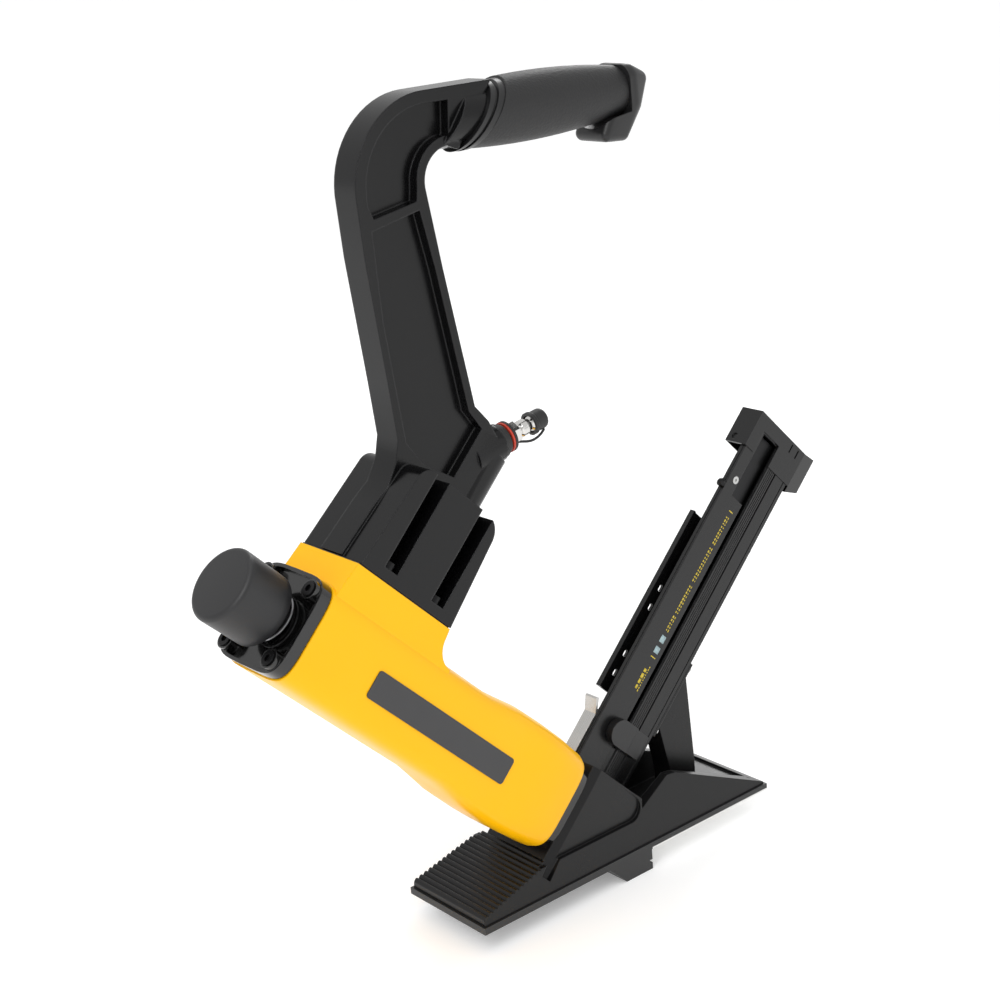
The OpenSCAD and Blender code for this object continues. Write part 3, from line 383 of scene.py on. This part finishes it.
lined("steel_ground", (0.46, 0.46, 0.47), 0.32, SLANT)
# The staples are painted near black: painted shade for the slot they are seen through.
lined("dark_steel", (0.035, 0.035, 0.036), 0.38, SLANT)
lined("stainless", (0.60, 0.59, 0.57), 0.30, SLANT)
lined("aluminium", (0.66, 0.66, 0.67), 0.28, -SLANT)
lined("plated", (0.74, 0.73, 0.71), 0.14, 0, stretch=(400, 400, 400))
lined("zinc", (0.55, 0.55, 0.54), 0.26, 0, stretch=(700, 700, 700))
lined("brass", (0.62, 0.40, 0.13), 0.25, -SLANT, stretch=(900, 60, 60))
print("finishes:", len(finishes))

# %% [markdown]
# The sole is coated black, and its edges are painted paler, partly as wear and partly as a
# painted highlight. A pale band 1.3 mm high is painted along the foot of its heel half: a painted
# shadow, standing in for the pale shadow under the base. A step function on the height and the
# length paints it.

# %% Sole with its painted pale shadow band
SHADOW_BAND_HIGH = 0.0013
SHADOW_BAND_START = 0.0008      # just to the heel side of the tongue-stop face
SHADOW_BAND_UNDER = -0.0001     # nothing below the board rest is in the painted band
s = Shader("sole_coat")
rounded = s.round_edges(0.0006)
xyz = s.node("ShaderNodeSeparateXYZ", {}, {"Vector": s.place})
# Painted shadow: a pale band along the foot of the heel half stands in for the shadow under the
# base.
shadow_band = (xyz["Z"] < SHADOW_BAND_HIGH) * (xyz["X"] > SHADOW_BAND_START) * (xyz["Z"] > SHADOW_BAND_UNDER)
grain = s.noise(1500, 3)
cloud = s.noise(25, 4)
dark = s.blend(cloud, (0.010, 0.010, 0.0105, 1), (0.015, 0.015, 0.0155, 1))
edge = s.edges(rounded)
# Paler edges: partly wear, partly a painted highlight along each edge.
worn_and_highlit_dark = s.blend(edge * 0.7, dark, (0.09, 0.09, 0.09, 1))
s.feed(Base_Color=s.blend(shadow_band, worn_and_highlit_dark, (0.78, 0.78, 0.76, 1)),
       Roughness=(0.42 + (cloud - 0.5) * 0.15).held(),
       Normal=s.bumped(grain, 0.00004, 0.7, rounded))
finishes["sole_coat"] = s.material
print("sole pad is", SHADOW_BAND_HIGH / MM, "mm thick")

# %% [markdown]
# Each CAD node now gets its finish by name. A dictionary from finish to nodes reads like a
# parts list. The names left out are printed, and looking one up then stops the script, so no
# node can pass with a finish that nobody chose.

# %% Which node has which finish
worn_by = {
    "cast_black": "shoe strut",
    "cast_satin": "handle",
    "sole_coat": "sole_plate",
    "enamel_black": "nose_plate head_cap end_cap_tab",
    "enamel_yellow": "body_casting",
    "anodised": "magazine_rail side_rail magazine_end_cap",
    "screw_black": "sole_screws nose_bolts guide_screws head_screws handle_screws rail_rivets",
    "zinc": "strut_rivets grip_screw side_screw end_cap_screw",
    # The staples carry painted shade.
    "dark_steel": "staple_core",
    "steel_ground": "driver_guide guide_cover driver_blade actuator_stem latch_pin "
                    "head_valve_spring return_spring",
    "stainless": "latch_lever pusher_coil",
    "aluminium": "cylinder_sleeve piston",
    "plated": "air_plug",
    "brass": "valve_sleeve firing_valve",
    "acetal_white": "head_valve",
    "panel_grey": "label_near label_far",
    "strike_rubber": "strike_cap bumper",
    "grip_rubber": "grip_sleeve",
    "nylon_black": "pusher grip_collar grip_end_cap",
    "seal_black": "sleeve_seals piston_ring head_valve_seal head_gasket handle_gasket inlet_boot "
                  "dust_cap dust_tether",
    "seal_red": "inlet_seal",
}
finish_of = {node: finish for finish, group in worn_by.items() for node in group.split()}
missing = sorted(set(nodes) - set(finish_of))
print("without a finish:", missing)


def dress(obj, finish):
    obj.data.materials.clear()
    obj.data.materials.append(finishes[finish])


for name, obj in nodes.items():
    dress(obj, finish_of[name])

# %% [markdown]
# A CAD file hands over triangles. Where a surface is smooth on the real piece, such as the
# swell of the body, its facets would show. A copy is welded, its gentle edges are shaded
# smooth and its crisp ones are marked sharp, and it stands for the node.

# %% Smooth skins
WELD = 2e-6             # corners nearer than this are one corner
SLIVER = 1e-6
SMOOTH_BELOW = math.radians(32)


def skin(node):
    """A welded, smooth-shaded copy of a CAD node that stands for it."""
    mesh = bpy.data.meshes.new("skin_" + node)
    work = bmesh.new()
    work.from_mesh(nodes[node].data)
    bmesh.ops.remove_doubles(work, verts=work.verts, dist=WELD)
    bmesh.ops.dissolve_degenerate(work, edges=work.edges, dist=SLIVER)
    for face in work.faces:
        face.smooth = True
    for edge in work.edges:
        edge.smooth = len(edge.link_faces) == 2 and edge.calc_face_angle(0) < SMOOTH_BELOW
    work.to_mesh(mesh)
    work.free()
    obj = bpy.data.objects.new("skin_" + node, mesh)
    bpy.context.scene.collection.objects.link(obj)
    dress(obj, finish_of[node])
    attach(obj, nodes[node]["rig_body"])
    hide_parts(node)
    return obj


for name in ("body_casting", "handle", "head_cap", "nose_plate", "strike_cap", "grip_sleeve",
             "grip_end_cap", "grip_collar", "dust_cap", "pusher", "inlet_boot"):
    made = skin(name)
    print(made.name, len(made.data.polygons), "faces")

# %% [markdown]
# A compression spring is a helix swept by a round wire. Geometry Nodes say that in three
# nodes: a spiral curve, a circle and Curve to Mesh. Radius, height, turns and wire are named
# inputs, so both springs of the tool come from one tree.

# %% Springs with Geometry Nodes
STEPS_A_TURN = 28
WIRE_SIDES = 10


def add_input(tree, name, kind, value):
    socket = tree.interface.new_socket(name=name, in_out="INPUT", socket_type=kind)
    socket.default_value = value
    return socket.identifier


def spring_tree():
    tree = bpy.data.node_groups.new("coil_spring", "GeometryNodeTree")
    tree.interface.new_socket(name="Geometry", in_out="OUTPUT", socket_type="NodeSocketGeometry")
    ids = {name: add_input(tree, name, kind, value) for name, kind, value in (
        ("Radius", "NodeSocketFloat", 0.01), ("Height", "NodeSocketFloat", 0.03),
        ("Turns", "NodeSocketFloat", 5.0), ("Wire", "NodeSocketFloat", 0.001))}
    ids["Finish"] = tree.interface.new_socket(
        name="Finish", in_out="INPUT", socket_type="NodeSocketMaterial").identifier
    given = tree.nodes.new("NodeGroupInput")
    helix = tree.nodes.new("GeometryNodeCurveSpiral")
    helix.inputs["Resolution"].default_value = STEPS_A_TURN
    wire = tree.nodes.new("GeometryNodeCurvePrimitiveCircle")
    wire.inputs["Resolution"].default_value = WIRE_SIDES
    sweep = tree.nodes.new("GeometryNodeCurveToMesh")
    sweep.inputs["Fill Caps"].default_value = True
    real = tree.nodes.new("GeometryNodeRealizeInstances")
    paint = tree.nodes.new("GeometryNodeSetMaterial")
    out = tree.nodes.new("NodeGroupOutput")
    link = tree.links.new
    link(given.outputs["Radius"], helix.inputs["Start Radius"])
    link(given.outputs["Radius"], helix.inputs["End Radius"])
    link(given.outputs["Height"], helix.inputs["Height"])
    link(given.outputs["Turns"], helix.inputs["Rotations"])
    link(given.outputs["Wire"], wire.inputs["Radius"])
    link(helix.outputs["Curve"], sweep.inputs["Curve"])
    link(wire.outputs["Curve"], sweep.inputs["Profile Curve"])
    link(sweep.outputs["Mesh"], real.inputs["Geometry"])
    link(real.outputs["Geometry"], paint.inputs["Geometry"])
    link(given.outputs["Finish"], paint.inputs["Material"])
    link(paint.outputs["Geometry"], out.inputs["Geometry"])
    return tree, ids


def grown(name, tree, ids, values, place):
    """The mesh that a tree makes with these values, as a plain object at the origin."""
    host = bpy.data.objects.new(name + "_host", bpy.data.meshes.new(name + "_host"))
    bpy.context.scene.collection.objects.link(host)
    modifier = host.modifiers.new("grow", "NODES")
    modifier.node_group = tree
    for key, value in values.items():
        modifier[ids[key]] = value
    host.update_tag()
    bpy.context.view_layer.update()
    shown = host.evaluated_get(bpy.context.evaluated_depsgraph_get())
    mesh = bpy.data.meshes.new_from_object(shown)
    bpy.data.objects.remove(host)
    mesh.transform(place)
    work = bmesh.new()
    work.from_mesh(mesh)
    bmesh.ops.recalc_face_normals(work, faces=work.faces)
    for face in work.faces:
        face.smooth = len(face.verts) == 4
    work.to_mesh(mesh)
    work.free()
    obj = bpy.data.objects.new(name, mesh)
    bpy.context.scene.collection.objects.link(obj)
    return obj


def frame_at(origin, axis):
    """Matrix that puts z along the axis and y across the tool."""
    z = axis.normalized()
    y = Vector((0, 1, 0))
    x = y.cross(z)
    turn = Matrix((x, y, z)).transposed().to_4x4()
    return Matrix.Translation(origin) @ turn


coil, coil_ids = spring_tree()
for name, turns, wire, joint, travel in (("return_spring", 5, 0.9, "strike_slide", 10),
                                         ("head_valve_spring", 7, 1.2, "head_valve_slide", 6)):
    m0, m1, low, high = tool_span(name)
    length = high - low - 2 * wire
    spring = grown("coil_" + name, coil, coil_ids, {
        "Radius": ((m1 - m0) / 2 - wire) * MM, "Height": length * MM, "Turns": float(turns),
        "Wire": wire * MM, "Finish": finishes["steel_ground"]},
        frame_at(along_tool(0, 0, low + wire), DRIVER))
    dress(spring, "steel_ground")
    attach(spring, "tool")
    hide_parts(name)
    fixed = low if name == "return_spring" else high
    anchor = along_tool(0, 0, fixed)
    1 - travel / (high - low)
    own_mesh(spring)
    print(spring.name, "length", round(length, 1), "mm")

# %% [markdown]
# The magazine's land carries a strip of print on the real tool. No lettering is repeated
# here: a row of plain bars in the same yellow says that something is printed. Geometry Nodes
# set the bars on a line, each with its own random length from a fixed seed.

# %% Printed strip
near_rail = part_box("magazine_rail")[0].y
INK_THICK = 0.00008
INK_PROUD = 0.00003


def print_tree():
    tree = bpy.data.node_groups.new("print_marks", "GeometryNodeTree")
    tree.interface.new_socket(name="Geometry", in_out="OUTPUT", socket_type="NodeSocketGeometry")
    ids = {name: add_input(tree, name, kind, value) for name, kind, value in (
        ("Count", "NodeSocketInt", 20), ("Step", "NodeSocketFloat", 0.005),
        ("Length", "NodeSocketFloat", 0.004), ("Width", "NodeSocketFloat", 0.001),
        ("Seed", "NodeSocketInt", 3))}
    ids["Finish"] = tree.interface.new_socket(
        name="Finish", in_out="INPUT", socket_type="NodeSocketMaterial").identifier
    given = tree.nodes.new("NodeGroupInput")
    step = tree.nodes.new("ShaderNodeCombineXYZ")
    row = tree.nodes.new("GeometryNodeMeshLine")
    bar = tree.nodes.new("GeometryNodeMeshCube")
    size = tree.nodes.new("ShaderNodeCombineXYZ")
    size.inputs["Y"].default_value = INK_THICK
    spread = tree.nodes.new("FunctionNodeRandomValue")
    spread.data_type = "FLOAT_VECTOR"
    spread.inputs[0].default_value = (0.45, 1, 0.8)
    spread.inputs[1].default_value = (1.0, 1, 1.2)
    put = tree.nodes.new("GeometryNodeInstanceOnPoints")
    real = tree.nodes.new("GeometryNodeRealizeInstances")
    paint = tree.nodes.new("GeometryNodeSetMaterial")
    out = tree.nodes.new("NodeGroupOutput")
    link = tree.links.new
    link(given.outputs["Step"], step.inputs["X"])
    link(given.outputs["Count"], row.inputs["Count"])
    link(step.outputs["Vector"], row.inputs["Offset"])
    link(given.outputs["Length"], size.inputs["X"])
    link(given.outputs["Width"], size.inputs["Z"])
    link(size.outputs["Vector"], bar.inputs["Size"])
    link(given.outputs["Seed"], spread.inputs["Seed"])
    link(row.outputs["Mesh"], put.inputs["Points"])
    link(bar.outputs["Mesh"], put.inputs["Instance"])
    link(spread.outputs[0], put.inputs["Scale"])
    link(put.outputs["Instances"], real.inputs["Geometry"])
    link(real.outputs["Geometry"], paint.inputs["Geometry"])
    link(given.outputs["Finish"], paint.inputs["Material"])
    link(paint.outputs["Geometry"], out.inputs["Geometry"])
    return tree, ids


def ink(name, colour):
    s = Shader(name)
    wear = s.noise(900, 4)
    s.feed(Base_Color=s.blend(wear, shade(colour, 0.55), shade(colour, 1.0)),
           Roughness=(0.45 + (wear - 0.5) * 0.2).held())
    finishes[name] = s.material


ink("ink_yellow", (0.80, 0.60, 0.03))
ink("ink_pale", (0.45, 0.62, 0.66))
marks, mark_ids = print_tree()
# each stretch: start along the magazine, height, count, step, bar length, bar width, ink
stretches = [
    (103, 69.5, 4, 4.4, 3.8, 2.6, "ink_yellow"), (101, 66.6, 10, 2.1, 1.7, 0.9, "ink_yellow"),
    (127.5, 68.6, 1, 1.0, 1.0, 6.5, "ink_yellow"), (133.5, 68.6, 1, 1.0, 6.5, 6.0, "ink_pale"),
    (142.5, 68.6, 1, 1.0, 6.5, 6.0, "ink_pale"), (150, 69.8, 5, 2.7, 2.2, 1.3, "ink_yellow"),
    (150, 67.6, 5, 2.7, 2.2, 0.9, "ink_yellow"), (165, 69.8, 9, 2.7, 2.2, 1.3, "ink_yellow"),
    (165, 67.6, 9, 2.7, 2.2, 0.9, "ink_yellow"), (192, 69.8, 11, 2.7, 2.2, 1.3, "ink_yellow"),
    (192, 67.6, 11, 2.7, 2.2, 0.9, "ink_yellow"), (224, 69.8, 9, 2.7, 2.2, 1.3, "ink_yellow"),
    (224, 67.6, 9, 2.7, 2.2, 0.9, "ink_yellow"), (251, 68.6, 1, 1.0, 1.0, 6.0, "ink_yellow")]
for number, (start, high, count, step, length, width, colour) in enumerate(stretches):
    origin = along_tool(start, 0, high)
    origin.y = near_rail - INK_PROUD
    strip = grown(f"print_{number:02d}", marks, mark_ids, {
        "Count": count, "Step": step * MM, "Length": length * MM, "Width": width * MM,
        "Seed": number, "Finish": finishes[colour]}, frame_at(origin, DRIVER))
    dress(strip, colour)
    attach(strip, "tool")
print("printed stretches:", len(stretches))

# %% [markdown]
# A short strap keeps the dust cap with the tool. On the real tool it leaves a ring on the plug;
# the strap drawn here starts beside the plug, makes a small loop beside it and ends on the cap.

# %% Dust-cap strap
STRAP_RADIUS = 0.0009


def beside_plug(out, away, low):
    """Point out along the plug, away from it to the near side and below it, in millimetres."""
    up = Vector((0, -1, 0)).cross(PLUG_AXIS)
    return PLUG + PLUG_AXIS * (out * MM) - Vector((0, away * MM, 0)) - up * (low * MM)


curve = bpy.data.curves.new("cap_strap", "CURVE")
curve.dimensions = "3D"
curve.bevel_depth = STRAP_RADIUS
curve.bevel_resolution = 3
curve.use_fill_caps = True
spline = curve.splines.new("NURBS")
route = [(-15, 4.4, 5.4), (-12, 5.2, 6.4), (-8, 6.0, 8.2), (-3, 6.2, 8.8), (2, 5.6, 8.4),
         (6, 4.6, 7.6), (8.6, 3.6, 6.6)]
spline.points.add(len(route) - 1)
for point, place in zip(spline.points, route):
    point.co = (*beside_plug(*place), 1)
spline.use_endpoint_u = True
spline.order_u = 4
holder = bpy.data.objects.new("cap_strap_curve", curve)
bpy.context.scene.collection.objects.link(holder)
bpy.context.view_layer.update()
strap_mesh = bpy.data.meshes.new_from_object(
    holder.evaluated_get(bpy.context.evaluated_depsgraph_get()))
bpy.data.objects.remove(holder)
strap = bpy.data.objects.new("cap_strap", strap_mesh)
bpy.context.scene.collection.objects.link(strap)
for face in strap_mesh.polygons:
    face.use_smooth = True
dress(strap, "seal_black")
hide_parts("dust_tether")
tuple(beside_plug(-13, 5, 6))
tuple(beside_plug(7, 4, 7))
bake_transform(strap)
print("strap:", len(strap_mesh.polygons), "faces")

# %% [markdown]
# The studio works as a light tent does. An even pale sky gives most of the light, a wide weak
# sun gives it a direction, and tall narrow lamps draw highlights along the black castings: one
# at the upper left, one low in front and one behind. The floor glows a little, so that it
# stays pale far from the lamps. The standard view keeps the yellow from washing out.

# %% Floor and lights
FLOOR_GLOW = 0.24
SKY = 0.78
SUN = 0.40
SUN_WIDTH = math.radians(50)
SUN_TURN = (math.radians(32), math.radians(-12), math.radians(-30))
REACH = 40.0
low, high = cad_box
floor_mesh = bpy.data.meshes.new("floor")
floor_mesh.from_pydata([(-REACH, -REACH, low.z), (REACH, -REACH, low.z), (REACH, REACH, low.z),
                        (-REACH, REACH, low.z)], [], [(0, 1, 2, 3)])
floor = bpy.data.objects.new("floor", floor_mesh)
bpy.context.scene.collection.objects.link(floor)
s = Shader("floor_paint", Emission_Strength=FLOOR_GLOW)
s.feed(Base_Color=s.blend(s.noise(3, 2), (0.86, 0.86, 0.86, 1), (0.90, 0.90, 0.90, 1)),
       Roughness=(0.7 + s.noise(40, 2) * 0.1).held())
floor_mesh.materials.append(s.material)

world = bpy.data.worlds.new("studio")
world.use_nodes = True
world.node_tree.nodes["Background"].inputs["Color"].default_value = (1, 1, 1, 1)
world.node_tree.nodes["Background"].inputs["Strength"].default_value = SKY
bpy.context.scene.world = world


def lamp(name, place, target, size, power):
    data = bpy.data.lights.new(name, "AREA")
    data.shape = "RECTANGLE"
    data.size, data.size_y = size
    data.energy = power
    obj = bpy.data.objects.new(name, data)
    bpy.context.scene.collection.objects.link(obj)
    obj.location = place
    obj.rotation_euler = (Vector(target) - Vector(place)).to_track_quat("-Z", "Y").to_euler()


middle = (low + high) / 2
sun = bpy.data.objects.new("daylight", bpy.data.lights.new("daylight", "SUN"))
sun.data.energy = SUN
sun.data.angle = SUN_WIDTH
sun.rotation_euler = SUN_TURN
bpy.context.scene.collection.objects.link(sun)
bpy.context.scene.view_settings.view_transform = "Standard"
lamp("key", (-1.5, -0.7, 1.5), middle, (0.45, 1.4), 9)
lamp("fill", (0.8, -1.9, 0.5), middle, (0.4, 1.6), 2)
lamp("rim", (1.4, 1.2, 1.3), middle, (0.35, 1.5), 9)
lamp("top", (-0.2, 0.1, 2.0), middle, (0.7, 0.7), 2)
